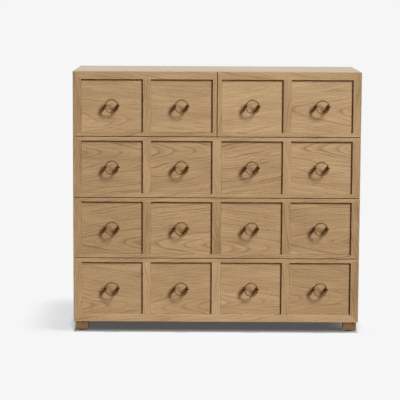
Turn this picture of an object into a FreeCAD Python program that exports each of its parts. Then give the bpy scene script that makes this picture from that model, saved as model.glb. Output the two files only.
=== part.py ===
import FreeCAD, Part
import math
import os

# Block front chest of drawers: two half-width drawers over three full-width ones, all on
# full-extension ball-bearing slides. Millimetres, +Z up, the drawer fronts face -Y. The origin
# lies on the floor, midway across the chest and midway between its back and the pulls.

# ---- Overall ----
overall_width = 1219.0
overall_depth = 457.0            # face of the drawer fronts to the back of the case
overall_height = 1118.0
row_count = 4

# ---- Feet ----
foot_width = 55.0
foot_height = 42.0
foot_inset = 5.0                 # from the outside of the case, on both sides of the corner
foot_chamfer = 3.0               # round the bottom, so that a dragged foot does not splinter
glide_radius = 19.0
glide_height = 4.0
tenon_width = 32.0               # stub tenon on top of a foot
tenon_height = 12.0              # how far it enters the bottom panel

# ---- Case ----
case_board = 19.0
back_board = 6.0
back_rebate = 9.0                # lap of the back board into the case boards
dado = 6.0                       # how deep a shelf, rail or partition is let into its neighbour
rail_depth = 70.0                # cross rails between the full-width drawers

# ---- Drawer fronts ----
front_board = 22.0
front_gap = 2.0                  # air between a closed front and the case behind it
front_seam = 3.0                 # air between neighbouring fronts
end_stile = 35.0
inner_stile = 34.0
meeting_stile = 17.5             # where the two top fronts meet
edge_rail = 33.0                 # top of the first row and bottom of the last
meeting_rail = 16.5              # where two rows meet
recess = 7.0                     # from the face of the frame back to the face of the block panel
panel_lap = 7.0                  # how far a block panel runs behind its frame

# ---- Drawer boxes ----
box_board = 14.0
box_rise = 14.0                  # air below a box
box_headroom = 27.0              # air above a box
box_back_room = 29.0             # air behind a box
bottom_board = 6.0
bottom_groove = 6.0
bottom_rise = 12.0               # from the lower edge of the box to its bottom board
tail_pitch = 50.0                # dovetails along a corner
tail_share = 0.62                # width of a tail at its end, as a share of the pitch
tail_slope = 1.0 / 7.0

# ---- Slides ----
steel = 1.2
slide_height = 45.0
slide_space = 12.5               # between the case wall and the side of the box
slide_rise = 72.0                # from the lower edge of the box to the middle of the slide
slide_play = 0.4                 # running clearance between two members
slide_setback = 2.0              # front end of a slide behind the front edge of the case

# ---- Pulls ----
ring_radius = 27.75              # to the middle of the ring's section
wire = 5.0                       # the ring's section is square
post_thickness = 4.0             # the two posts stand behind the sides of the ring and curve with it
post_height = 20.0
post_length = 25.5

# ---- Planes and levels worked out from the sizes above ----
pull_projection = post_length + wire - recess
half_width = overall_width / 2
back_y = (overall_depth + pull_projection) / 2
face_y = back_y - overall_depth
front_back_y = face_y + front_board
case_front_y = front_back_y + front_gap
back_board_y = back_y - back_board
case_bottom_z = foot_height + glide_height
inner_half_width = half_width - case_board
stack_height = overall_height - case_bottom_z
centre_stile = 2 * meeting_stile + front_seam
panel_height = (stack_height - 2 * edge_rail
                - (row_count - 1) * (2 * meeting_rail + front_seam)) / row_count
box_length = back_board_y - front_back_y - box_back_room


def block(x0, x1, y0, y1, z0, z1):
    """A board or block between two corners."""
    return Part.makeBox(x1 - x0, y1 - y0, z1 - z0, FreeCAD.Vector(x0, y0, z0))


def prism(points, sweep):
    """A solid swept straight from a closed outline of (x, y, z) points."""
    outline = Part.makePolygon([FreeCAD.Vector(*point) for point in points + points[:1]])
    return Part.Face(outline).extrude(FreeCAD.Vector(*sweep))


def save(node, solids):
    """Write one node: a single solid, or a group of separate ones."""
    shape = solids[0] if len(solids) == 1 else Part.makeCompound(solids)
    shape.exportStep(os.path.join("parts", node + ".step"))


# ---- Case ----

def rows():
    """Each row from the top down: its front from low to high, and its rails."""
    levels = []
    high = overall_height
    for row in range(row_count):
        upper_rail = edge_rail if row == 0 else meeting_rail
        lower_rail = edge_rail if row == row_count - 1 else meeting_rail
        low = high - upper_rail - panel_height - lower_rail
        levels.append({"low": low, "high": high, "lower_rail": lower_rail, "upper_rail": upper_rail})
        high = low - front_seam
    return levels


def board_level(upper, lower):
    """Lower face of the case board that lies behind the seam between two rows."""
    return (upper["low"] + lower["high"]) / 2 - case_board / 2


def opening(levels, row):
    """Clear height of the case behind one row, as low and high."""
    is_first = row == 0
    is_last = row == len(levels) - 1
    high = overall_height - case_board if is_first else board_level(levels[row - 1], levels[row])
    low = case_bottom_z + case_board if is_last else board_level(levels[row], levels[row + 1]) + case_board
    return low, high


def case_ring():
    """Top, left side, right side and bottom, mitred at all four corners."""
    outer = [(-half_width, case_bottom_z), (half_width, case_bottom_z),
             (half_width, overall_height), (-half_width, overall_height)]
    inner = [(-inner_half_width, case_bottom_z + case_board), (inner_half_width, case_bottom_z + case_board),
             (inner_half_width, overall_height - case_board), (-inner_half_width, overall_height - case_board)]
    boards = []
    for corner in range(4):
        following = (corner + 1) % 4
        outline = [outer[corner], outer[following], inner[following], inner[corner]]
        points = [(x, case_front_y, z) for x, z in outline]
        boards.append(prism(points, (0, back_y - case_front_y, 0)))
    bottom, right, top, left = boards
    return {"bottom_panel": bottom, "right_side_panel": right, "top_panel": top, "left_side_panel": left}


def foot_centres():
    """Middle of each foot: front left, front right, back left, back right."""
    reach_x = half_width - foot_inset - foot_width / 2
    front = case_front_y + foot_inset + foot_width / 2
    back = back_y - foot_inset - foot_width / 2
    return [(-reach_x, front), (reach_x, front), (-reach_x, back), (reach_x, back)]


def build_case(levels):
    boards = case_ring()

    back = block(-inner_half_width - back_rebate, inner_half_width + back_rebate, back_board_y, back_y,
                 case_bottom_z + case_board - back_rebate, overall_height - case_board + back_rebate)

    shelf_z = board_level(levels[0], levels[1])
    housed = inner_half_width + dado
    shelf = block(-housed, housed, case_front_y, back_board_y, shelf_z, shelf_z + case_board)
    partition = block(-case_board / 2, case_board / 2, case_front_y, back_board_y,
                      shelf_z + case_board - dado, overall_height - case_board + dado)

    rails = []
    for row in range(1, len(levels) - 1):
        rail_z = board_level(levels[row], levels[row + 1])
        for rail_y in (case_front_y, back_board_y - rail_depth):
            rails.append(block(-housed, housed, rail_y, rail_y + rail_depth, rail_z, rail_z + case_board))

    shelf = shelf.cut(partition)
    for name in boards:
        boards[name] = boards[name].cut(Part.makeCompound([back, shelf, partition] + rails))

    feet = []
    glides = []
    for x, y in foot_centres():
        half = foot_width / 2
        foot = block(x - half, x + half, y - half, y + half, glide_height, case_bottom_z)
        bottom_edges = [edge for edge in foot.Edges if edge.CenterOfMass.z < glide_height + foot_chamfer]
        foot = foot.makeChamfer(foot_chamfer, bottom_edges)
        half = tenon_width / 2
        tenon = block(x - half, x + half, y - half, y + half, case_bottom_z, case_bottom_z + tenon_height)
        feet.append(foot.fuse(tenon))
        glides.append(Part.makeCylinder(glide_radius, glide_height, FreeCAD.Vector(x, y, 0)))
    boards["bottom_panel"] = boards["bottom_panel"].cut(Part.makeCompound(feet))

    for name, board in boards.items():
        save(name, [board])
    save("back_panel", [back])
    save("dust_shelf", [shelf])
    save("centre_partition", [partition])
    save("cross_rails", rails)
    save("feet", feet)
    save("foot_glides", glides)


# ---- Drawer fronts ----

def rail_solid(x0, x1, left_stile, right_stile, outer_z, width, inward):
    """A rail: its face layer is mitred to the end stiles, its back layer runs full length."""
    inner_z = outer_z + inward * width
    face = [(x0, face_y, outer_z), (x1, face_y, outer_z),
            (x1 - right_stile, face_y, inner_z), (x0 + left_stile, face_y, inner_z)]
    lap_z = inner_z - inward * panel_lap
    backing = block(x0, x1, face_y + recess, front_back_y, min(outer_z, lap_z), max(outer_z, lap_z))
    return prism(face, (0, recess, 0)).fuse(backing).removeSplitter()


def end_stile_solid(outer_x, width, inward, level):
    """A stile at the end of a front: mitred face layer, and a back layer between the rails."""
    inner_x = outer_x + inward * width
    face = [(outer_x, face_y, level["low"]), (outer_x, face_y, level["high"]),
            (inner_x, face_y, level["high"] - level["upper_rail"]),
            (inner_x, face_y, level["low"] + level["lower_rail"])]
    lap_x = inner_x - inward * panel_lap
    backing = block(min(outer_x, lap_x), max(outer_x, lap_x), face_y + recess, front_back_y,
                    level["low"] + level["lower_rail"] - panel_lap,
                    level["high"] - level["upper_rail"] + panel_lap)
    return prism(face, (0, recess, 0)).fuse(backing).removeSplitter()


def inner_stile_solid(x0, x1, level):
    """A stile between two panels, butted to the rails in both layers."""
    low = level["low"] + level["lower_rail"]
    high = level["high"] - level["upper_rail"]
    face = block(x0, x1, face_y, face_y + recess, low, high)
    backing = block(x0 + panel_lap, x1 - panel_lap, face_y + recess, front_back_y,
                    low - panel_lap, high + panel_lap)
    return face.fuse(backing).removeSplitter()


def build_front(name, x0, x1, stiles, level):
    """The framed front of one drawer. Returns the middle of each block panel, as (x, z)."""
    panel_count = len(stiles) - 1
    panel_width = (x1 - x0 - sum(stiles)) / panel_count
    low = level["low"] + level["lower_rail"]
    high = level["high"] - level["upper_rail"]

    frame = [rail_solid(x0, x1, stiles[0], stiles[-1], level["high"], level["upper_rail"], -1),
             rail_solid(x0, x1, stiles[0], stiles[-1], level["low"], level["lower_rail"], 1),
             end_stile_solid(x0, stiles[0], 1, level),
             end_stile_solid(x1, stiles[-1], -1, level)]
    panels = []
    centres = []
    left = x0 + stiles[0]
    for stile in stiles[1:]:
        right = left + panel_width
        panels.append(block(left - panel_lap, right + panel_lap, face_y + recess, front_back_y,
                            low - panel_lap, high + panel_lap))
        centres.append(((left + right) / 2, (low + high) / 2))
        left = right + stile
        if len(panels) < panel_count:
            frame.append(inner_stile_solid(right, left, level))
    save(name + "_front_frame", frame)
    save(name + "_block_panels", panels)
    return centres


# ---- Drawer boxes ----

def tail_outline(near_y, far_y, low, high):
    """Side board seen from the side: a body between two rows of dovetails, as (y, z) points."""
    count = max(2, round((high - low) / tail_pitch))
    pitch = (high - low) / count
    half_end = pitch * tail_share / 2
    half_root = half_end - box_board * tail_slope
    near_edge = [(near_y + box_board, low)]
    far_edge = [(far_y - box_board, low)]
    for tail in range(count):
        middle = low + pitch * (tail + 0.5)
        for edge, end_y, root_y in ((near_edge, near_y, near_y + box_board),
                                    (far_edge, far_y, far_y - box_board)):
            edge += [(root_y, middle - half_root), (end_y, middle - half_end),
                     (end_y, middle + half_end), (root_y, middle + half_root)]
    near_edge.append((near_y + box_board, high))
    far_edge.append((far_y - box_board, high))
    return near_edge + far_edge[::-1]


def build_box(name, x0, x1, low, high):
    """Dovetailed box with its bottom board in a groove."""
    near_y = front_back_y
    far_y = front_back_y + box_length
    outline = tail_outline(near_y, far_y, low, high)
    left = prism([(x0, y, z) for y, z in outline], (box_board, 0, 0))
    right = prism([(x1 - box_board, y, z) for y, z in outline], (box_board, 0, 0))
    sides = Part.makeCompound([left, right])
    front = block(x0, x1, near_y, near_y + box_board, low, high).cut(sides)
    back = block(x0, x1, far_y - box_board, far_y, low, high).cut(sides)

    inset = box_board - bottom_groove
    bottom = block(x0 + inset, x1 - inset, near_y + inset, far_y - inset,
                   low + bottom_rise, low + bottom_rise + bottom_board)
    save(name + "_box_sides", [left.cut(bottom), right.cut(bottom)])
    save(name + "_box_ends", [front.cut(bottom), back.cut(bottom)])
    save(name + "_box_bottom", [bottom])


# ---- Slides ----

def channel(web_x, lip_x, y0, y1, middle_z, height):
    """A pressed channel: a web on edge at web_x, with flanges that reach to lip_x."""
    inward = 1 if lip_x > web_x else -1
    half = height / 2
    low, high = middle_z - half, middle_z + half
    thick = inward * steel
    outline = [(web_x, y0, low), (lip_x, y0, low), (lip_x, y0, low + steel),
               (web_x + thick, y0, low + steel), (web_x + thick, y0, high - steel),
               (lip_x, y0, high - steel), (lip_x, y0, high), (web_x, y0, high)]
    return prism(outline, (0, y1 - y0, 0))


def slide_members(wall_x, inward, box_low):
    """Cabinet, middle and drawer members of one slide, nested from the case wall inwards."""
    y0 = case_front_y + slide_setback
    y1 = y0 + box_length
    middle_z = box_low + slide_rise
    nest = steel + slide_play
    cabinet = channel(wall_x, wall_x + inward * (slide_space - 2 * nest), y0, y1, middle_z, slide_height)
    middle = channel(wall_x + inward * nest, wall_x + inward * (slide_space - nest), y0, y1,
                     middle_z, slide_height - 2 * nest)
    drawer = channel(wall_x + inward * slide_space, wall_x + inward * 2 * nest, y0, y1,
                     middle_z, slide_height - 4 * nest)
    return cabinet, middle, drawer


# ---- Pulls ----

def hoop(x, z, thickness, near_y, far_y, start, sweep):
    """Part of a flat-sided hoop of the ring's radius, turned about the pull's own axis (degrees)."""
    inside = x + ring_radius - thickness / 2
    outside = inside + thickness
    corners = [(inside, near_y), (outside, near_y), (outside, far_y), (inside, far_y), (inside, near_y)]
    outline = Part.makePolygon([FreeCAD.Vector(corner_x, corner_y, z) for corner_x, corner_y in corners])
    section = Part.Face(outline)
    middle, axis = FreeCAD.Vector(x, 0, z), FreeCAD.Vector(0, 1, 0)
    section.rotate(middle, axis, start)
    return section.revolve(middle, axis, sweep)


def build_pulls(name, centres):
    """Rings parallel to the front, each on two posts from the block panel to its sides."""
    panel_y = face_y + recess
    ring_back_y = panel_y - post_length
    post_sweep = 2 * math.degrees(math.asin(post_height / 2 / ring_radius))
    rings = []
    posts = []
    for x, z in centres:
        rings.append(hoop(x, z, wire, ring_back_y, ring_back_y - wire, 0, 360))
        for side in (0, 180):
            posts.append(hoop(x, z, post_thickness, panel_y, ring_back_y, side - post_sweep / 2, post_sweep))
    save(name + "_pull_rings", rings)
    save(name + "_pull_posts", posts)


# ---- Drawers ----

def build_drawer(name, front_x, stiles, bay_x, level, clear):
    """One drawer between two case walls. Returns the cabinet members of its pair of slides."""
    build_pulls(name, build_front(name, front_x[0], front_x[1], stiles, level))
    box_low = clear[0] + box_rise
    build_box(name, bay_x[0] + slide_space, bay_x[1] - slide_space, box_low, clear[1] - box_headroom)
    left = slide_members(bay_x[0], 1, box_low)
    right = slide_members(bay_x[1], -1, box_low)
    save(name + "_slide_middle_members", [left[1], right[1]])
    save(name + "_slide_drawer_members", [left[2], right[2]])
    return [left[0], right[0]]


os.makedirs("parts", exist_ok=True)

levels = rows()
build_case(levels)

cabinet_members = []
top_stiles = [end_stile, inner_stile, meeting_stile]
top_clear = opening(levels, 0)
cabinet_members += build_drawer("top_left", (-half_width, -front_seam / 2), top_stiles,
                                (-inner_half_width, -case_board / 2), levels[0], top_clear)
cabinet_members += build_drawer("top_right", (front_seam / 2, half_width), top_stiles[::-1],
                                (case_board / 2, inner_half_width), levels[0], top_clear)

wide_stiles = [end_stile, inner_stile, centre_stile, inner_stile, end_stile]
for row, name in enumerate(("second", "third", "bottom"), start=1):
    cabinet_members += build_drawer(name, (-half_width, half_width), wide_stiles,
                                    (-inner_half_width, inner_half_width), levels[row], opening(levels, row))
save("slide_cabinet_members", cabinet_members)
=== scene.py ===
import math
import random

import bpy
from mathutils import Euler, Matrix, Vector


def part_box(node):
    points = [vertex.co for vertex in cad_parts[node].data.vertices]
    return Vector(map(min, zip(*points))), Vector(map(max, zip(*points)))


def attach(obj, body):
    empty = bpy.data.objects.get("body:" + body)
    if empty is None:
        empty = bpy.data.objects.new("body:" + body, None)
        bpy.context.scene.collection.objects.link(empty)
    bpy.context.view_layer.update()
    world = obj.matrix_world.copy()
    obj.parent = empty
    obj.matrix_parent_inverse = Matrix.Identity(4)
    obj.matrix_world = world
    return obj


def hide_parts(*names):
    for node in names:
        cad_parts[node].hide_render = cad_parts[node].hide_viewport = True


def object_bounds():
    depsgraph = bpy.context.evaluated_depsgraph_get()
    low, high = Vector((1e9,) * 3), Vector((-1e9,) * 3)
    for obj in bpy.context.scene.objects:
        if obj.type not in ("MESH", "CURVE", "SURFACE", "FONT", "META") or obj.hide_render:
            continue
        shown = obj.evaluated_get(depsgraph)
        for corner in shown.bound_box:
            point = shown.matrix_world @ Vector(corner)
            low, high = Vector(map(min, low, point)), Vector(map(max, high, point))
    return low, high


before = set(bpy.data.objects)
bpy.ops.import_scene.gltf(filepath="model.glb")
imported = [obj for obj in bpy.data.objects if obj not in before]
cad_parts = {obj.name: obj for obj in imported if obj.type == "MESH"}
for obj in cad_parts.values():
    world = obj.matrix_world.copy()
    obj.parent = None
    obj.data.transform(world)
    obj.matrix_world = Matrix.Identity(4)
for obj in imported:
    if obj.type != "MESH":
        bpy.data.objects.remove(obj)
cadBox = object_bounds()

# The dressed model of an oak chest of drawers. Metres, +Z up, the drawer fronts face -Y.
# Lengths in the dictionaries below are in millimetres, unless they say metres.

mm = 0.001
near = 1e-5                      # two places closer than this are the same
turnedSmooth = 35                # degrees; turned pieces are shaded as round up to this angle
drawerNames = ("top_left", "top_right", "second", "third", "bottom")
random.seed(7)


# Small helpers

def hexColour(code):
    # sRGB hex to the linear colour that the nodes take
    channels = [int(code[i:i + 2], 16) / 255 for i in (1, 3, 5)]
    return tuple(c / 12.92 if c <= 0.04045 else ((c + 0.055) / 1.055) ** 2.4 for c in channels) + (1.0,)


def activate(piece):
    bpy.ops.object.select_all(action="DESELECT")
    piece.select_set(True)
    bpy.context.view_layer.objects.active = piece


def settle(piece):
    # leaves the object at the origin, with its place in its mesh
    activate(piece)
    bpy.ops.object.transform_apply(location=True, rotation=True, scale=True)


def copyOf(piece, name, offset):
    made = piece.copy()
    made.data = piece.data.copy()
    made.name = name
    bpy.context.scene.collection.objects.link(made)
    made.location = offset
    settle(made)
    return made


def joined(pieces, name):
    bpy.ops.object.select_all(action="DESELECT")
    for piece in pieces:
        piece.select_set(True)
    bpy.context.view_layer.objects.active = pieces[0]
    bpy.ops.object.join()
    pieces[0].name = name
    return pieces[0]


def addBoard(name, low, high):
    bpy.ops.object.select_all(action="DESELECT")
    bpy.ops.mesh.primitive_cube_add(size=1, location=(low + high) / 2, scale=high - low)
    board = bpy.context.object
    board.name = name
    settle(board)
    return board


def sliced(piece, point, direction, removes):
    # cuts through the whole piece; removes takes away the side that direction points to
    activate(piece)
    bpy.ops.object.mode_set(mode="EDIT")
    bpy.ops.mesh.select_all(action="SELECT")
    bpy.ops.mesh.bisect(plane_co=point, plane_no=direction, use_fill=removes, clear_outer=removes)
    bpy.ops.object.mode_set(mode="OBJECT")


def cutAway(piece, cutter):
    activate(piece)
    bpy.ops.object.modifier_add(type="BOOLEAN")
    cut = piece.modifiers[-1]
    cut.operation = "DIFFERENCE"
    cut.solver = "EXACT"
    cut.object = cutter
    bpy.ops.object.modifier_apply(modifier=cut.name)


def turned(name, start, direction, radius, steps, sides=24):
    # a turned piece: a disc, pushed out along an axis and resized step by step
    bpy.ops.object.select_all(action="DESELECT")
    bpy.ops.mesh.primitive_circle_add(vertices=sides, radius=radius * mm, fill_type="NGON", location=start,
                                      rotation=direction.to_track_quat("Z", "Y").to_euler())
    piece = bpy.context.object
    settle(piece)
    bpy.ops.object.mode_set(mode="EDIT")
    bpy.ops.mesh.select_all(action="SELECT")
    centre, size = start.copy(), radius
    for width, push in steps:
        bpy.ops.mesh.extrude_region_move(TRANSFORM_OT_translate={"value": direction * push * mm})
        centre += direction * push * mm
        bpy.ops.transform.resize(value=[1 if abs(part) > 0.5 else width / size for part in direction],
                                 center_override=centre)
        size = width
    bpy.ops.mesh.select_all(action="SELECT")
    bpy.ops.mesh.normals_make_consistent(inside=False)
    bpy.ops.object.mode_set(mode="OBJECT")
    piece.name = name
    bpy.ops.object.shade_smooth_by_angle(angle=math.radians(turnedSmooth))
    return piece


def mounted(piece, material, body, node=None):
    # gives a finished piece its material and its body, and hides the CAD part that it stands in for
    piece.data.materials.clear()
    piece.data.materials.append(material)
    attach(piece, body)
    if node:
        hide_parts(node)


# Camera, at the height of a standing eye and a little left of the middle

view = {
    "place": (-72.4, -6716.8, 1481.6),
    "pitch": 6.469, "yaw": -0.011, "roll": 0.286,                          # degrees; pitch is downwards
    "focalLength": 138.95, "sensorWidth": 36, "shift": -0.1,
    "farthest": 200,             # metres
}

bpy.ops.object.select_all(action="DESELECT")
bpy.ops.object.camera_add(location=Vector(view["place"]) * mm)
camera = bpy.context.object
aim = (Matrix.Rotation(math.radians(view["yaw"]), 4, "Z")
       @ Matrix.Rotation(math.radians(90 - view["pitch"]), 4, "X")
       @ Matrix.Rotation(math.radians(view["roll"]), 4, "Z"))
camera.rotation_euler = aim.to_euler()
camera.data.lens = view["focalLength"]
camera.data.sensor_width = view["sensorWidth"]
camera.data.shift_y = view["shift"]
camera.data.clip_end = view["farthest"]
bpy.context.scene.camera = camera
print("camera placed")


# Materials

def newMaterial(name):
    made = bpy.data.materials.new(name)
    made.use_nodes = True
    made.node_tree.nodes.clear()
    return made, made.node_tree


def addNode(tree, kind, inputs, stops=(), **settings):
    # a node with its settings, its links and values by socket, and the colours of a ramp
    made = tree.nodes.new("ShaderNode" + kind)
    for key, value in settings.items():
        setattr(made, key, value)
    for socket, value in inputs.items() if isinstance(inputs, dict) else enumerate(inputs):
        if isinstance(value, bpy.types.NodeSocket):
            tree.links.new(value, made.inputs[socket])
        else:
            made.inputs[socket].default_value = value
    for index, (position, colour) in enumerate(stops):
        if index >= len(made.color_ramp.elements):
            made.color_ramp.elements.new(position)
        made.color_ramp.elements[index].position = position
        made.color_ramp.elements[index].color = colour
    return made.outputs


def grey(level):
    return (level, level, level, 1.0)


# Oak veneer, sawn flat, pressed on boards and lacquered matt: warm brown with dark open pores, fine
# streaks along the grain and nested arches of growth rings. The rings are cones round a pith that lies
# below the face and leans out of it, so they arch in the middle of a board and run straight beside it.
oakFinish = {
    "dark": "#745A3B", "middle": "#A48B65", "light": "#CAB28D", "warm": "#A8876C",
    "ringPitch": 10.0, "lean": 0.15, "pithDepth": 16.0, "leaf": 152.5,
    "ringDepth": 0.60, "streakDepth": 0.70, "cloudDepth": 0.55, "poreDepth": 0.24, "fleckDepth": 0.34,
    "roughness": 0.68, "bump": 0.10,
}
# the same on the top, rubbed smoother by use, so it catches more of the pale room
topFinish = dict(oakFinish, roughness=0.32)
# Birch, planed and clear sealed: pale, even and nearly without figure
birchFinish = {
    "dark": "#A78C66", "middle": "#C4AE8A", "light": "#D5C3A3", "warm": "#C8AB86",
    "ringPitch": 7.0, "lean": 0.10, "pithDepth": 30.0, "leaf": 210.0,
    "ringDepth": 0.22, "streakDepth": 0.24, "cloudDepth": 0.25, "poreDepth": 0.05, "fleckDepth": 0.06,
    "roughness": 0.72, "bump": 0.05,
}
# Birch plywood, rotary cut and sealed: broad loose waves of figure
plyFinish = {
    "dark": "#A98A5F", "middle": "#C9AD82", "light": "#DCC49C", "warm": "#CDA980",
    "ringPitch": 22.0, "lean": 0.22, "pithDepth": 40.0, "leaf": 1250.0,
    "ringDepth": 0.34, "streakDepth": 0.22, "cloudDepth": 0.30, "poreDepth": 0.10, "fleckDepth": 0.08,
    "roughness": 0.62, "bump": 0.08,
}
# Even noise at real sizes: along the grain, across it, then its detail and roughness
woodNoise = {
    "sway": (260, 70, 2, 0.5),       # slow wander of the growth rings
    "waver": (45, 14, 2, 0.5),       # their small unevenness
    "patch": (150, 60, 1, 0.5),      # where the rings stand out
    "streak": (120, 3.6, 3, 0.6),    # fine lines along the grain
    "cloud": (330, 55, 2, 0.5),      # slow change of tone
    "fleck": (9, 6, 2, 0.7),         # small flecks across the grain
    "pore": (22, 1.1, 2, 0.6),       # open pores, drawn coarser than real ones to show
    "warmth": (210, 28, 2, 0.5),     # redder wood
}
# How that noise becomes figure in every wood. From and to are the values of a noise between which its
# effect grows.
woodRules = {
    "sway": 0.046, "waver": 0.008,       # most that each moves the rings sideways, in metres
    "wander": (0.31, 2.4),               # uneven width of the rings: its pace per ring, its strength
    "year": ((0.0, 0.9), (0.10, 1.0), (0.30, 0.45), (0.70, 0.08), (0.93, 0.0), (1.0, 0.9)),
    "vigour": (0.73, 0.3, 0.7, 0.25),    # fainter rings: pace per ring, from, to, faintest
    "patch": (0.35, 0.62, 0.35),         # from, to, faintest
    "pore": (0.56, 0.68, 0.3),           # from, to, share of them outside the early wood
    "warmth": (0.46, 0.72, 0.28),        # from, to, most of the warm colour
    "relief": (0.5, 0.6),                # depth of a ring beside that of a pore, strength of the bump
    "sheen": (0.10, 0.12),               # change of roughness with the cloud, and in a pore
}
# Wide panels are leaves of veneer or boards laid side by side, each cut from another place in the log
leaves = {
    "slip": 0.47,                # from each leaf to the next along the log, in metres
    "fold": 0.02,                # depth after which the figure turns back, in metres
    "tone": 0.14,                # range of tone
    "seedStep": 5.3, "figure": 0.65,
    "panelSlip": 0.13, "panelSeed": 3.7,     # times a panel's own seed: slip in metres, noise's seed
}


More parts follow.
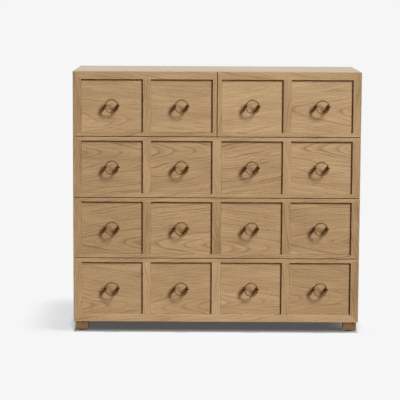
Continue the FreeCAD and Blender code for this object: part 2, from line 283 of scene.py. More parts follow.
def woodMaterial(name, finish, turn=None, shift=(0, 0, 0), seed=0.0):
    # Wood with its grain along the first axis. With no turn it follows the piece's own grain
    # attribute, otherwise object coordinates turned so that the grain runs along the board.
    made, tree = newMaterial(name)
    rules = woodRules
    if turn is None:
        place = addNode(tree, "Attribute", {}, attribute_name="grain")["Vector"]
        own = addNode(tree, "Attribute", {}, attribute_name="board")["Vector"]
        seed, tone, figure = addNode(tree, "SeparateXYZ", [own])
    else:
        place = addNode(tree, "TexCoord", {})["Object"]
        place = addNode(tree, "Mapping", {"Vector": place, "Rotation": turn, "Location": shift})["Vector"]
        run, side, depth = addNode(tree, "SeparateXYZ", [place])
        leaf = finish["leaf"] * mm
        share = addNode(tree, "Math", [side, 1 / leaf, 0.5], operation="MULTIPLY_ADD")[0]
        number = addNode(tree, "Math", [share], operation="FLOOR")[0]
        side = addNode(tree, "Math", [number, -leaf, side], operation="MULTIPLY_ADD")[0]
        run = addNode(tree, "Math", [number, leaves["slip"], run], operation="MULTIPLY_ADD")[0]
        depth = addNode(tree, "Math", [depth, leaves["fold"]], operation="PINGPONG")[0]
        place = addNode(tree, "CombineXYZ", [run, side, depth])["Vector"]
        tone = addNode(tree, "TexWhiteNoise", {"W": number}, noise_dimensions="1D")["Value"]
        tone = addNode(tree, "Math", [tone, leaves["tone"], -leaves["tone"] / 2],
                       operation="MULTIPLY_ADD")[0]
        seed = addNode(tree, "Math", [number, leaves["seedStep"], seed], operation="MULTIPLY_ADD")[0]
        figure = leaves["figure"]
    noise = {}
    for layer, (along, across, detail, roughness) in woodNoise.items():
        scaled = addNode(tree, "VectorMath", [place, (1000 / along, 1000 / across, 1000 / across)],
                         operation="MULTIPLY")["Vector"]
        noise[layer] = addNode(tree, "TexNoise", {
            "Vector": scaled, "W": seed, "Scale": 1.0, "Detail": detail, "Roughness": roughness},
            noise_dimensions="4D")["Fac"]

    run, side, depth = addNode(tree, "SeparateXYZ", [place])
    side = addNode(tree, "Math", [noise["sway"], rules["sway"], side], operation="MULTIPLY_ADD")[0]
    side = addNode(tree, "Math", [noise["waver"], rules["waver"], side], operation="MULTIPLY_ADD")[0]
    usual = (rules["sway"] + rules["waver"]) / 2                           # what both add on average
    side = addNode(tree, "Math", [side, usual], operation="SUBTRACT")[0]
    depth = addNode(tree, "Math", [depth, finish["pithDepth"] * mm], operation="ADD")[0]
    square = addNode(tree, "Math", [depth, depth], operation="MULTIPLY")[0]
    square = addNode(tree, "Math", [side, side, square], operation="MULTIPLY_ADD")[0]
    radius = addNode(tree, "Math", [square], operation="SQRT")[0]
    ring = addNode(tree, "Math", [run, finish["lean"], radius], operation="MULTIPLY_ADD")[0]
    ring = addNode(tree, "Math", [ring, finish["ringPitch"] * mm], operation="DIVIDE")[0]
    pace, strength = rules["wander"]
    wander = addNode(tree, "Math", [ring, pace], operation="MULTIPLY")[0]
    wander = addNode(tree, "TexNoise", {"W": wander, "Scale": 1.0, "Detail": 1.0},
                     noise_dimensions="1D")["Fac"]
    year = addNode(tree, "Math", [wander, strength, ring], operation="MULTIPLY_ADD")[0]
    year = addNode(tree, "Math", [year], operation="FRACT")[0]
    # early wood starts sharply and fades into the late wood of the same year
    line = addNode(tree, "ValToRGB", [year], stops=[
        (when, grey(amount)) for when, amount in rules["year"]])["Color"]
    pace, start, end, faintest = rules["vigour"]
    vigour = addNode(tree, "Math", [ring, pace], operation="MULTIPLY")[0]
    vigour = addNode(tree, "TexNoise", {"W": vigour, "Scale": 1.0, "Detail": 0.0},
                     noise_dimensions="1D")["Fac"]
    vigour = addNode(tree, "MapRange", [vigour, start, end, faintest, 1.0])[0]
    patch = addNode(tree, "MapRange", [noise["patch"], *rules["patch"], 1.0])[0]
    rings = addNode(tree, "Math", [line, vigour], operation="MULTIPLY")[0]
    rings = addNode(tree, "Math", [rings, patch], operation="MULTIPLY")[0]
    rings = addNode(tree, "Math", [rings, figure], operation="MULTIPLY")[0]
    start, end, outside = rules["pore"]
    pores = addNode(tree, "MapRange", [noise["pore"], start, end, 0.0, 1.0])[0]
    share = addNode(tree, "Math", [line, 1 - outside, outside], operation="MULTIPLY_ADD")[0]
    pores = addNode(tree, "Math", [pores, share], operation="MULTIPLY")[0]

    even = (finish["streakDepth"] + finish["cloudDepth"] + finish["fleckDepth"]) / 2
    level = addNode(tree, "Math", [tone, 0.5 - even], operation="ADD")[0]
    for part, depth in ((noise["streak"], finish["streakDepth"]), (noise["cloud"], finish["cloudDepth"]),
                        (noise["fleck"], finish["fleckDepth"]), (rings, -finish["ringDepth"]),
                        (pores, -finish["poreDepth"])):
        level = addNode(tree, "Math", [part, depth, level], operation="MULTIPLY_ADD")[0]
    colour = addNode(tree, "ValToRGB", [level], stops=[
        (index / 2, hexColour(finish[shade]))
        for index, shade in enumerate(("dark", "middle", "light"))])["Color"]
    start, end, most = rules["warmth"]
    warmth = addNode(tree, "MapRange", [noise["warmth"], start, end, 0.0, most])[0]
    colour = addNode(tree, "Mix", {"Factor": warmth, "A": colour, "B": hexColour(finish["warm"])},
                     data_type="RGBA")["Result"]
    ringRelief, strength = rules["relief"]
    relief = addNode(tree, "Math", [rings, ringRelief, pores], operation="MULTIPLY_ADD")[0]
    normal = addNode(tree, "Bump", {"Height": relief, "Distance": finish["bump"] * mm, "Strength": strength},
                     invert=True)["Normal"]
    withCloud, inPore = rules["sheen"]
    least = finish["roughness"] - withCloud / 2
    sheen = addNode(tree, "Math", [noise["cloud"], withCloud, least], operation="MULTIPLY_ADD")[0]
    sheen = addNode(tree, "Math", [pores, inPore, sheen], operation="MULTIPLY_ADD")[0]
    surface = addNode(tree, "BsdfPrincipled", {
        "Base Color": colour, "Roughness": sheen, "IOR": 1.45, "Normal": normal})["BSDF"]
    addNode(tree, "OutputMaterial", {"Surface": surface})
    return made


alongX = (0.0, 0.0, 0.0)                                                   # across the grain is Y
alongXUpright = (-math.pi / 2, 0.0, 0.0)                                   # across the grain is Z
alongZ = (0.0, math.pi / 2, 0.0)                                           # across the grain is Y
alongY = tuple((Matrix.Rotation(-math.pi / 2, 3, "X") @ Matrix.Rotation(-math.pi / 2, 3, "Z")).to_euler())

metals = {
    # brass left to darken: a dull brown film over yellow metal that shows through where it is rubbed
    "aged brass": {"clean": "#876131", "film": "#593E1E", "filmShine": 0.75, "roughness": 0.42, "grain": 6.0,
                   "cover": (0.30, 0.65)},
    # bronze with a nearly black film, partly painted shade and dark reflection; it reads as small dark marks
    "dark bronze with painted shade": {"clean": "#36230F", "film": "#1B1008", "filmShine": 0.9, "roughness": 0.55, "grain": 4.0,
                    "cover": (0.30, 0.60)},
    # bright zinc on rolled steel: cool grey with faint rolling lines along Y
    "zinc-plated steel": {"clean": "#B9BDC0", "film": "#8C9195", "roughness": 0.38, "grain": 14.0,
                          "cover": (0.40, 0.70), "squeeze": (6.0, 0.12, 1.0)},
}
filmRoughness = (-0.08, 0.12)    # what the thinnest and the thickest film add to a metal's roughness


def metalMaterial(name):
    finish = metals[name]
    made, tree = newMaterial(name)
    place = addNode(tree, "TexCoord", {})["Object"]
    scale = [1000 / finish["grain"] * share for share in finish.get("squeeze", (1.0, 1.0, 1.0))]
    place = addNode(tree, "VectorMath", [place, scale], operation="MULTIPLY")["Vector"]
    film = addNode(tree, "TexNoise", {"Vector": place, "Scale": 1.0, "Detail": 4.0, "Roughness": 0.6})["Fac"]
    cover = addNode(tree, "MapRange", [film, *finish["cover"], 0.0, 1.0])[0]
    colour = addNode(tree, "Mix", {
        "Factor": cover, "A": hexColour(finish["clean"]), "B": hexColour(finish["film"])},
        data_type="RGBA")["Result"]
    thin, thick = [finish["roughness"] + change for change in filmRoughness]
    rough = addNode(tree, "MapRange", [film, 0.0, 1.0, thin, thick])[0]
    shine = 1.0                      # bright metal all over, unless a dull film covers part of it
    if "filmShine" in finish:
        shine = addNode(tree, "MapRange", [cover, 0.0, 1.0, 1.0, finish["filmShine"]])[0]
    surface = addNode(tree, "BsdfPrincipled", {
        "Base Color": colour, "Metallic": shine, "Roughness": rough})["BSDF"]
    addNode(tree, "OutputMaterial", {"Surface": surface})
    return made


# Nylon, injection moulded: dark and dull, with the faint pebble of the mould, 0.7 mm and so 1400 to
# the metre
nylon = {"low": "#2B2622", "high": "#3A342E", "pebble": 1400.0, "depth": 0.05, "roughness": 0.55}


def nylonMaterial():
    made, tree = newMaterial("moulded nylon")
    place = addNode(tree, "TexCoord", {})["Object"]
    pebble = addNode(tree, "TexNoise", {"Vector": place, "Scale": nylon["pebble"], "Detail": 2.0})["Fac"]
    colour = addNode(tree, "ValToRGB", [pebble], stops=[
        (0.3, hexColour(nylon["low"])), (0.7, hexColour(nylon["high"]))])["Color"]
    normal = addNode(tree, "Bump", {
        "Height": pebble, "Distance": nylon["depth"] * mm, "Strength": 0.5})["Normal"]
    surface = addNode(tree, "BsdfPrincipled", {
        "Base Color": colour, "Roughness": nylon["roughness"], "IOR": 1.53, "Normal": normal})["BSDF"]
    addNode(tree, "OutputMaterial", {"Surface": surface})
    return made


frontOak = woodMaterial("oak veneer front", oakFinish)
agedBrass = metalMaterial("aged brass")
darkBronzeWithPaintedShade = metalMaterial("dark bronze with painted shade")
zincSteel = metalMaterial("zinc-plated steel")
glideNylon = nylonMaterial()

# Woods that several pieces share, or a piece not in the case: finish, turn, shift in metres and seed
sharedWoods = {
    "birch plywood back": (plyFinish, alongXUpright, (0.2, -0.5, 0.25), 11.0),
    "birch box side": (birchFinish, alongY, (0.0, -0.3, 0.0), 21.0),
    "birch box end": (birchFinish, alongXUpright, (0.0, -0.4, 0.2), 22.0),
    "birch plywood bottom": (plyFinish, alongX, (0.3, 0.1, 0.0), 23.0),
}
backPly, boxSideWood, boxEndWood, boxBottomWood = [
    woodMaterial(name, *lay) for name, lay in sharedWoods.items()]

# Boards of the case: finish, turn and seed
caseFinishes = {
    "top_panel": (topFinish, alongX, 1.0), "bottom_panel": (oakFinish, alongX, 2.0),
    "left_side_panel": (oakFinish, alongZ, 3.0), "right_side_panel": (oakFinish, alongZ, 4.0),
    "feet": (oakFinish, alongZ, 8.0), "dust_shelf": (birchFinish, alongX, 5.0),
    "centre_partition": (birchFinish, alongZ, 6.0), "cross_rails": (birchFinish, alongX, 7.0),
}


def dress(node, material):
    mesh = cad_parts[node].data
    mesh.materials.clear()
    mesh.materials.append(material)


for node, (finish, turn, seed) in caseFinishes.items():
    kind = "birch " if finish is birchFinish else "oak veneer "
    low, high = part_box(node)
    middle = Euler(turn).to_matrix() @ (low + high) / 2                    # leaves lie even about it
    shift = (leaves["panelSlip"] * seed - middle.x, -middle.y, leaves["fold"] / 2 - middle.z)
    dress(node, woodMaterial(kind + node.replace("_", " "), finish, turn, shift, seed * leaves["panelSeed"]))
for name in drawerNames:
    dress(name + "_box_sides", boxSideWood)
    dress(name + "_box_ends", boxEndWood)
    dress(name + "_box_bottom", boxBottomWood)
    dress(name + "_slide_drawer_members", zincSteel)
    dress(name + "_slide_middle_members", zincSteel)
dress("slide_cabinet_members", zincSteel)
dress("foot_glides", glideNylon)
print("materials made, case dressed")


# Drawer fronts: a mitred frame of boards round square block panels

frontSizes = {
    "recess": 8.5,               # face of the frame back to the face of a panel
    "lap": 7.0,                  # panel behind the frame
    "arris": 1.3,                # eased free edges
    "groove": (1.2, 1.6),        # kerf round the visible face of a panel: width, depth
}
# Ranges for the frame's boards: how far their heart is off to a side, how far along their arches lie,
# and the noise's seed, which the panels have too; then how strong the boards' figure is
frameWood = {"heart": (50, 130), "apex": (-300, 300), "seed": (0, 50), "figure": 0.8}
# For each front, left to right: widths and tones of its stiles; widths and tones of its upper and lower
# rails; and how each panel is cut: middle of the arches above the panel's own middle, how far along they
# point, which way, how light the panel is and how strong its figure.
fronts = {
    "top_left": {
        "stiles": ((35, -0.08), (34, 0.08), (17.5, 0.0)), "rails": ((33, 0.04), (16.5, -0.04)),
        "cuts": ((-58, 60, 1, 0.04, 0.55), (-150, 0, 1, 0.04, 0.45))},
    "top_right": {
        "stiles": ((17.5, 0.02), (34, 0.05), (35, -0.07)), "rails": ((33, 0.05), (16.5, 0.06)),
        "cuts": ((-140, 40, -1, 0.12, 0.55), (-18, 90, -1, 0.08, 0.80))},
    "second": {
        "stiles": ((35, -0.07), (34, 0.08), (38, 0.06), (34, 0.05), (35, -0.05)),
        "rails": ((16.5, 0.06), (16.5, 0.03)),
        "cuts": ((62, -60, 1, -0.02, 0.75), (70, -40, 1, 0.02, 0.90), (120, 30, 1, 0.02, 1.00),
                 (85, -60, -1, 0.08, 0.85))},
    "third": {
        "like": "second",        # the same boards, but for the wood
        "stiles": ((35, -0.03), (34, -0.03), (38, -0.12), (34, -0.12), (35, -0.18)),
        "rails": ((16.5, 0.02), (16.5, 0.0)),
        "cuts": ((-62, 60, -1, -0.02, 0.80), (-66, 110, -1, 0.05, 0.90), (-86, -20, 1, 0.04, 0.75),
                 (-56, 60, -1, -0.02, 0.75))},
    "bottom": {
        "stiles": ((35, 0.03), (34, 0.16), (38, 0.20), (34, -0.01), (35, -0.18)),
        "rails": ((16.5, 0.06), (33, 0.16)),
        "cuts": ((-72, -30, 1, 0.04, 0.80), (-80, 20, -1, 0.04, 0.65), (-52, -40, 1, 0.05, 0.55),
                 (-40, -90, 1, -0.04, 0.60))},
}


def layGrain(board, alongHeight, middle, heart, apex, way, tone, figure):
    # each vertex keeps its place in the plank: along the grain, across it, and down into it
    mesh = board.data
    places = []
    for vertex in mesh.vertices:
        offset = vertex.co - middle
        run, side = (offset.z, offset.x) if alongHeight else (offset.x, offset.z)
        places += [way * (run - apex * mm), side - heart * mm, offset.y]
    own = [random.uniform(*frameWood["seed"]), tone, figure] * len(mesh.vertices)
    for name, values in (("grain", places), ("board", own)):
        if name in mesh.attributes:                                        # left there by a cut
            mesh.attributes.remove(mesh.attributes[name])
        mesh.attributes.new(name, "FLOAT_VECTOR", "POINT").data.foreach_set("vector", values)


def easeFront(board, faceY, isFree):
    # rounds the edges of the front face that stand free
    activate(board)
    bpy.context.tool_settings.mesh_select_mode = (False, True, False)
    mesh = board.data
    for part in (mesh.vertices, mesh.edges, mesh.polygons):
        part.foreach_set("select", [False] * len(part))
    for edge in mesh.edges:
        a, b = [mesh.vertices[i].co for i in edge.vertices]
        edge.select = abs(a.y - faceY) < near and abs(b.y - faceY) < near and isFree(a, b)
    bpy.ops.object.mode_set(mode="EDIT")
    bpy.ops.mesh.bevel(offset=frontSizes["arris"] * mm, segments=3, affect="EDGES")
    bpy.ops.object.mode_set(mode="OBJECT")


def modelPanel(low, high):
    # a block panel with a kerf round the part of it that shows
    panel = addBoard("panel", low, high)
    lap, (width, depth) = frontSizes["lap"] * mm, frontSizes["groove"]
    activate(panel)
    bpy.context.tool_settings.mesh_select_mode = (False, False, True)
    for polygon in panel.data.polygons:
        polygon.select = polygon.normal.y < -0.9
    bpy.ops.object.mode_set(mode="EDIT")
    bpy.ops.mesh.inset(thickness=lap)
    bpy.ops.mesh.inset(thickness=width * mm)
    bpy.ops.object.mode_set(mode="OBJECT")
    for polygon in panel.data.polygons:
        spot = polygon.center
        inward = min(spot.x - low.x, high.x - spot.x, spot.z - low.z, high.z - spot.z) - lap
        polygon.select = abs(spot.y - low.y) < near and 0 < inward < width * mm
    bpy.ops.object.mode_set(mode="EDIT")
    bpy.ops.mesh.extrude_region_move(TRANSFORM_OT_translate={"value": (0, depth * mm, 0)})
    bpy.ops.object.mode_set(mode="OBJECT")
    return panel


def modelRail(low, high, outer, inner, openings, slopes):
    # a rail between the front's two ends, mitred by the slopes of its ends
    rail = addBoard("rail", Vector((low.x, low.y, min(outer, inner))),
                    Vector((high.x, high.y, max(outer, inner))))
    rise = inner - outer
    sliced(rail, (low.x, 0, outer), Vector((-abs(rise), 0, math.copysign(slopes[0], rise))), True)
    sliced(rail, (high.x, 0, outer), Vector((abs(rise), 0, math.copysign(slopes[1], rise))), True)
    for x in [edge for opening in openings for edge in opening][1:-1]:
        sliced(rail, (x, 0, 0), (1, 0, 0), False)

    def isFree(a, b):
        atOpening = any(left < (a.x + b.x) / 2 < right for left, right in openings)
        onOuter, onInner = abs(a.z - outer) < near, abs(a.z - inner) < near
        return abs(a.z - b.z) < near and (onOuter or onInner and atOpening)
    easeFront(rail, low.y, isFree)
    return rail


def modelStile(low, high, rails=None):
    # an upright board; at an end of the front it is mitred to both rails
    stile = addBoard("stile", low, high)
    if rails:
        outer, run, upper, lower = rails
        sliced(stile, (outer, 0, high.z), Vector((math.copysign(upper, run), 0, abs(run))), True)
        sliced(stile, (outer, 0, low.z), Vector((math.copysign(lower, run), 0, -abs(run))), True)
    easeFront(stile, low.y, lambda a, b: abs(a.x - b.x) < near)
    return stile


panelPattern = []                # the block panel and its middle, once it is modelled
stilePatterns = {}               # inner stiles by width, each with its middle
boardsOf = {}                    # each front's boards, kept for a front that is like it


def frontBoards(name):
    # models one front and gives back the middles of its panels
    low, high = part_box(name + "_front_frame")
    front = fronts[name]
    widths = [width * mm for width, tone in front["stiles"]]
    upper, lower = [width * mm for width, tone in front["rails"]]
    count = len(widths) - 1
    panelWidth = (high.x - low.x - sum(widths)) / count
    openLow, openHigh = low.z + lower, high.z - upper
    openings = []
    left = low.x + widths[0]
    for width in widths[1:]:
        openings.append((left, left + panelWidth))
        left += panelWidth + width
    middles = [Vector(((left + right) / 2, low.y, (openLow + openHigh) / 2)) for left, right in openings]

    lap = frontSizes["lap"] * mm
    if not panelPattern:
        panel = modelPanel(Vector((openings[0][0] - lap, low.y + frontSizes["recess"] * mm, openLow - lap)),
                           Vector((openings[0][1] + lap, high.y, openHigh + lap)))
        panelPattern.extend((panel, middles[0]))
    panel, ownMiddle = panelPattern
    panels = [copyOf(panel, "panel", middle - ownMiddle) for middle in middles]
    for panel, middle, (heart, apex, way, tone, figure) in zip(panels, middles, front["cuts"]):
        layGrain(panel, False, middle, heart, apex, way, tone, figure)
    panelPiece = joined(panels, name + "_panel_boards")

    if "like" in front:
        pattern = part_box(front["like"] + "_front_frame")[0]
        boards = [copyOf(board, "board", low - pattern) for board in boardsOf[front["like"]]]
    else:
        ends = widths[0], widths[-1]
        leftHigh = Vector((low.x + ends[0], high.y, high.z))
        rightLow = Vector((high.x - ends[1], low.y, low.z))
        boards = [modelRail(low, high, high.z, openHigh, openings, ends),
                  modelRail(low, high, low.z, openLow, openings, ends),
                  modelStile(low, leftHigh, (low.x, ends[0], upper, lower)),
                  modelStile(rightLow, high, (high.x, -ends[1], upper, lower))]
        for board in boards:
            cutAway(board, panelPiece)                                     # rebates for the panels
        for index in range(1, count):
            left, right = openings[index - 1][1], openings[index][0]
            middle = Vector(((left + right) / 2, low.y, (openLow + openHigh) / 2))
            width = front["stiles"][index][0]
            if width not in stilePatterns:
                stile = modelStile(Vector((left, low.y, openLow)), Vector((right, high.y, openHigh)))
                cutAway(stile, panelPiece)
                stilePatterns[width] = stile, middle
            stile, ownMiddle = stilePatterns[width]
            boards.append(copyOf(stile, "stile", middle - ownMiddle))
        boardsOf[name] = [copyOf(board, "pattern", (0, 0, 0)) for board in boards]
    stileTones = [tone for width, tone in front["stiles"]]
    tones = [tone for width, tone in front["rails"]] + [stileTones[0], stileTones[-1]] + stileTones[1:-1]
    for index, (board, tone) in enumerate(zip(boards, tones)):
        isStile = index > 1                                                # the first two are the rails
        middle = sum((Vector(corner) for corner in board.bound_box), Vector()) / 8
        middle.y = low.y
        heart = random.choice((-1, 1)) * random.uniform(*frameWood["heart"])
        apex = random.uniform(*frameWood["apex"])
        layGrain(board, isStile, middle, heart, apex, random.choice((-1, 1)), tone, frameWood["figure"])
    framePiece = joined(boards, name + "_frame_boards")
    # takes out faces without area that the cuts left
    bpy.ops.object.mode_set(mode="EDIT")
    bpy.ops.mesh.select_all(action="SELECT")
    bpy.ops.mesh.dissolve_degenerate(threshold=near / 10)
    bpy.ops.object.mode_set(mode="OBJECT")
    mounted(framePiece, frontOak, name + "_drawer", name + "_front_frame")
    mounted(panelPiece, frontOak, name + "_drawer", name + "_block_panels")
    return middles


pullCentres = {name: frontBoards(name) for name in drawerNames}
patterns = [panelPattern[0]] + [stile for stile, middle in stilePatterns.values()]
for pattern in patterns + sum(boardsOf.values(), []):
    bpy.data.objects.remove(pattern)
print("drawer fronts modelled")


# Pulls: a hoop on two curved plates, held at each side by a dark barrel that it runs through

pull = {
    "radius": 27.75,             # to the middle of the hoop's section
    "reach": 23.5,               # face of the frame to the front of the pull
    "hoop": 5.0, "hoopDepth": 3.2, "hoopEase": 0.8, "hoopSteps": 72,
    "hoopSetBack": 0.8,          # front of the barrels to the front of the hoop
    "plate": 4.0, "plateHeight": 19.5, "plateEase": 0.7, "plateSteps": 12,
    "barrel": 3.1, "barrelLength": 11.0, "barrelRise": 1.2,                # the first is a radius
    "barrelEnds": (0.5, 0.4, 0.6),           # how much each end narrows, and over what length
    "smooth": 50,                # degrees; bands are shaded as round up to this angle
}


def modelHoop(name, centre, thickness, ease, nearY, farY, start, sweep, steps):
    # a band of the hoop's radius: its section with eased corners, spun about the pull's own axis
    radius = pull["radius"] * mm
    place = Vector((centre.x + radius * math.cos(start), (nearY + farY) / 2,
                    centre.z + radius * math.sin(start)))
    bpy.ops.object.select_all(action="DESELECT")
    bpy.ops.mesh.primitive_plane_add(size=1, location=place, rotation=(0, -start, 0))
    band = bpy.context.object
    band.scale = (thickness * mm, abs(farY - nearY), 1)
    settle(band)
    isClosed = sweep >= 2 * math.pi
    bpy.ops.object.mode_set(mode="EDIT")
    bpy.ops.mesh.select_all(action="SELECT")
    bpy.ops.mesh.bevel(offset=ease * mm, segments=2, affect="VERTICES")
    if isClosed:
        bpy.ops.mesh.delete(type="ONLY_FACE")
        bpy.ops.mesh.select_all(action="SELECT")
    bpy.ops.mesh.spin(steps=steps, angle=sweep, center=(centre.x, 0, centre.z), axis=(0, 1, 0))
    bpy.ops.mesh.select_all(action="SELECT")
    bpy.ops.mesh.remove_doubles(threshold=near)
    bpy.ops.mesh.normals_make_consistent(inside=False)
    bpy.ops.object.mode_set(mode="OBJECT")
    band.name = name
    bpy.ops.object.shade_smooth_by_angle(angle=math.radians(pull["smooth"]))
    return band


def modelPull(centre):
    panelY = centre.y + frontSizes["recess"] * mm
    frontY = centre.y - pull["reach"] * mm
    hoopFrontY = frontY + pull["hoopSetBack"] * mm
    hoopY = hoopFrontY + pull["hoopDepth"] * mm
    ring = modelHoop("ring", centre, pull["hoop"], pull["hoopEase"], hoopY, hoopFrontY,
                     0, 2 * math.pi, pull["hoopSteps"])
    halfSweep = math.asin(pull["plateHeight"] / 2 / pull["radius"])
    plates, barrels = [], []
    for side in (0, 1):
        plates.append(modelHoop("plate", centre, pull["plate"], pull["plateEase"], panelY, hoopY,
                                math.pi * side - halfSweep, 2 * halfSweep, pull["plateSteps"]))
        outward = Vector((1 - 2 * side, 0, 0))
        size, length = pull["barrel"], pull["barrelLength"]
        narrowing, inner, outer = pull["barrelEnds"]
        start = Vector((centre.x, frontY + size * mm, centre.z + pull["barrelRise"] * mm))
        start += outward * (pull["radius"] - length / 2) * mm
        barrels.append(turned("barrel", start, outward, size - narrowing, (
            (size, inner), (size, length - inner - outer), (size - narrowing, outer))))
    return ring, joined(plates, "plates"), joined(barrels, "barrels")


firstCentre = pullCentres["top_left"][0]
pullPatterns = modelPull(firstCentre)
# the barrels' near-black bronze is partly painted dark reflection and shade
pullParts = (("_rings", agedBrass, "_pull_rings"), ("_plates", agedBrass, "_pull_posts"),
             ("_barrels", darkBronzeWithPaintedShade, None))
for name in drawerNames:
    for pattern, (part, material, node) in zip(pullPatterns, pullParts):
        copies = [copyOf(pattern, "copy", centre - firstCentre) for centre in pullCentres[name]]
        mounted(joined(copies, name + part), material, name + "_drawer", node and name + node)
for pattern in pullPatterns:
    bpy.data.objects.remove(pattern)
print("pulls modelled")


# Screws: pan heads inside each box, for the front and for its pulls, and flush ones round the back

screws = {
    # first radius, then each step's radius and how far it is pushed out; a head ends in its recess
    "panHead": (4.0, ((4.0, 0.9), (3.5, 0.6), (2.5, 0.35), (1.5, 0.05), (1.2, -0.9))),
    "flatHead": (1.8, ((4.0, 2.2), (3.8, 0.1), (1.6, 0.02), (1.2, -1.2))),
    "countersink": (1.9, ((4.4, 2.5), (4.4, 1.0))),
    "sides": 20,
    "boxFront": 14.0,            # thickness of the board that the pan heads bear on
    "inset": (38, 34),           # front screws from the sides and from the edges of the box front
    "sink": 2.5,                 # depth of the countersinks in the back
    "backInset": 9.0, "across": 7, "up": 6,
}


def modelTurning(name):
    radius, steps = screws[name]
    return turned(name, Vector((0, 0, 0)), Vector((0, 1, 0)), radius, steps, screws["sides"])


screwPattern = modelTurning("panHead")
for name in drawerNames:
    boxLow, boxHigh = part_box(name + "_box_ends")
    innerY = boxLow.y + screws["boxFront"] * mm
    sideways, upDown = screws["inset"]
    spots = [Vector((x, innerY, z)) for x in (boxLow.x + sideways * mm, boxHigh.x - sideways * mm)
             for z in (boxLow.z + upDown * mm, boxHigh.z - upDown * mm)]
    spots += [Vector((centre.x + side * pull["radius"] * mm, innerY, centre.z))
              for centre in pullCentres[name] for side in (-1, 1)]
    heads = [copyOf(screwPattern, "head", spot) for spot in spots]
    mounted(joined(heads, name + "_front_screws"), zincSteel, name + "_drawer")
bpy.data.objects.remove(screwPattern)

backLow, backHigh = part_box("back_panel")
backBoard = addBoard("back_board", backLow, backHigh)
inset = screws["backInset"] * mm
start = Vector((backLow.x + inset, backHigh.y - screws["sink"] * mm, backLow.z + inset))
stepX = (backHigh.x - backLow.x - 2 * inset) / (screws["across"] - 1)
stepZ = (backHigh.z - backLow.z - 2 * inset) / (screws["up"] - 1)
spots = [start + Vector((i * stepX, 0, j * stepZ))
         for i in range(screws["across"]) for j in range(screws["up"])
         if i in (0, screws["across"] - 1) or j in (0, screws["up"] - 1)]
sinkPattern = modelTurning("countersink")
headPattern = modelTurning("flatHead")
sinks = joined([copyOf(sinkPattern, "sink", spot) for spot in spots], "sinks")
cutAway(backBoard, sinks)
heads = joined([copyOf(headPattern, "head", spot) for spot in spots], "back_screws")
mounted(backBoard, backPly, "case", "back_panel")
mounted(heads, zincSteel, "case")
for pattern in (sinkPattern, headPattern, sinks):
    bpy.data.objects.remove(pattern)
print("screws modelled")


# Floor, backdrop and light

# Lengths in metres
studio = {
    "white": "#F6F6F6",          # the backdrop, and the floor away from the chest
    "ambient": 0.004,
    "floorSize": 24.0,
    "paper": "#E3E6EB",          # the floor where it shows shadow
    "shadeShift": (0.05, -0.10, 0.0),        # moves the patch of it to the left and back
    "shadeReach": 0.22,          # how far from the chest that patch fades out
    "shadeLift": 0.09,           # how much of the plain white is mixed in close to the chest
    "bounce": "#7A5530",         # the floor as other surfaces see it, warm with the wood's own light
    "middle": (0, 0, 0.56),      # what every lamp points at
    "sunDistance": 4.0,
}
# Direction from the chest to each lamp, its strength, and its size: metres for the panel, degrees for a
# sun; then what it lights alone, or what it leaves to others. The top, the feet and the floor have lamps
# of their own, so that none burns out or falls into hard shadow. Only lamps with shine show in gloss.
lamps = {
    "keyLamp": {"from": (0.82, -1.0, 0.96), "strength": 6130.0, "size": (4.4, 8.0), "distance": 20.0,
                "shine": True, "skips": ("floor", "top_panel", "feet")},
    "fillLamp": {"from": (-0.2, -1.0, 0.6), "strength": 0.29, "angle": 130.0, "colour": "#FF9B45",
                 "shine": True, "skips": ("floor",)},
    "backLamp": {"from": (-1.0, 0.75, 0.4), "strength": 2.1, "angle": 50.0,
                 "skips": ("floor", "top_panel")},
    "topLamp": {"from": (0.3, -0.4, 1.0), "strength": 4.6, "angle": 60.0, "colour": "#F0F8F4",
                "lights": ("top_panel",)},
    "feetLamp": {"from": (-0.5, -1.0, 0.25), "strength": 2.15, "angle": 60.0, "lights": ("feet",)},
    "floorMain": {"from": (0.0, -0.12, 1.0), "strength": 2.6, "angle": 4.0, "lights": ("floor",)},
    "floorSide": {"from": (0.75, -0.30, 0.62), "strength": 1.4, "angle": 40.0, "lights": ("floor",)},
}

bpy.ops.object.select_all(action="DESELECT")
bpy.ops.mesh.primitive_plane_add(size=studio["floorSize"], location=(0, 0, 0))
floor = bpy.context.object
floor.name = "floor"


def seenDirectly(tree):
    # one for what the camera sees, also in gloss or through glass, and nothing for the light that
    # surfaces pass on
    path = addNode(tree, "LightPath", {})
    either = addNode(tree, "Math", [path["Is Camera Ray"], path["Is Glossy Ray"]], operation="MAXIMUM")[0]
    return addNode(tree, "Math", [either, path["Is Transmission Ray"]], operation="MAXIMUM")[0]


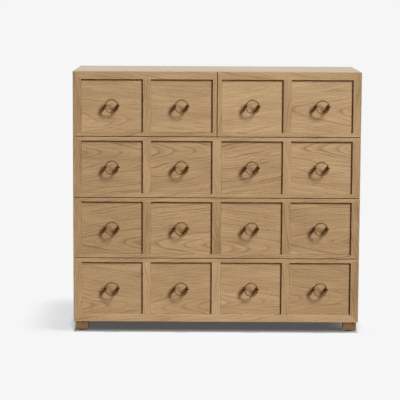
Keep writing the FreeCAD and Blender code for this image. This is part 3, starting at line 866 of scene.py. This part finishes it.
floorPaper, tree = newMaterial("white seamless paper")
spot = addNode(tree, "TexCoord", {})["Object"]
spot = addNode(tree, "VectorMath", [spot, studio["shadeShift"]], operation="ADD")["Vector"]
spot = addNode(tree, "VectorMath", [spot], operation="ABSOLUTE")["Vector"]
beyond = addNode(tree, "VectorMath", [spot, (cadBox[1].x, cadBox[1].y, 0.0)], operation="SUBTRACT")["Vector"]
outside = addNode(tree, "VectorMath", [beyond, (0.0, 0.0, 0.0)], operation="MAXIMUM")["Vector"]
distance = addNode(tree, "VectorMath", [outside], operation="LENGTH")["Value"]
away = addNode(tree, "MapRange", [distance, 0.0, studio["shadeReach"], studio["shadeLift"], 1.0],
               interpolation_type="SMOOTHSTEP")[0]
paper = addNode(tree, "BsdfDiffuse", {"Color": hexColour(studio["paper"])})["BSDF"]
glow = addNode(tree, "Emission", {"Color": hexColour(studio["white"])})["Emission"]
seen = addNode(tree, "MixShader", [away, paper, glow])["Shader"]
dull = addNode(tree, "BsdfDiffuse", {"Color": hexColour(studio["bounce"])})["BSDF"]
surface = addNode(tree, "MixShader", [seenDirectly(tree), dull, seen])["Shader"]
addNode(tree, "OutputMaterial", {"Surface": surface})
floor.data.materials.append(floorPaper)

world = bpy.data.worlds.new("studio")
world.use_nodes = True
bpy.context.scene.world = world
tree = world.node_tree
tree.nodes.clear()
fill = addNode(tree, "Background", {"Color": grey(1.0), "Strength": studio["ambient"]})["Background"]
backdrop = addNode(tree, "Background", {"Color": hexColour(studio["white"]), "Strength": 1.0})["Background"]
surface = addNode(tree, "MixShader", [seenDirectly(tree), fill, backdrop])["Shader"]
addNode(tree, "OutputWorld", {"Surface": surface})

for name, lamp in lamps.items():
    towards = Vector(lamp["from"]).normalized()
    bpy.ops.object.select_all(action="DESELECT")
    place = Vector(studio["middle"]) + towards * lamp.get("distance", studio["sunDistance"])
    bpy.ops.object.light_add(type="AREA" if "size" in lamp else "SUN", location=place,
                             rotation=towards.to_track_quat("Z", "Y").to_euler())
    made = bpy.context.object
    made.name = name
    made.data.energy = lamp["strength"]
    made.data.color = hexColour(lamp.get("colour", "#FFFFFF"))[:3]
    if "size" in lamp:
        made.data.shape = "RECTANGLE"
        made.data.size, made.data.size_y = lamp["size"]
    else:
        made.data.angle = math.radians(lamp["angle"])
    made.visible_glossy = "shine" in lamp
    receivers = bpy.data.collections.new(name + "Receivers")
    for target in lamp.get("lights") or lamp["skips"]:
        receivers.objects.link(floor if target == "floor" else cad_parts[target])
    for link in receivers.collection_objects:
        link.light_linking.link_state = "INCLUDE" if "lights" in lamp else "EXCLUDE"
    made.light_linking.receiver_collection = receivers

bpy.context.scene.view_settings.view_transform = "Standard"
print("floor and lights placed")
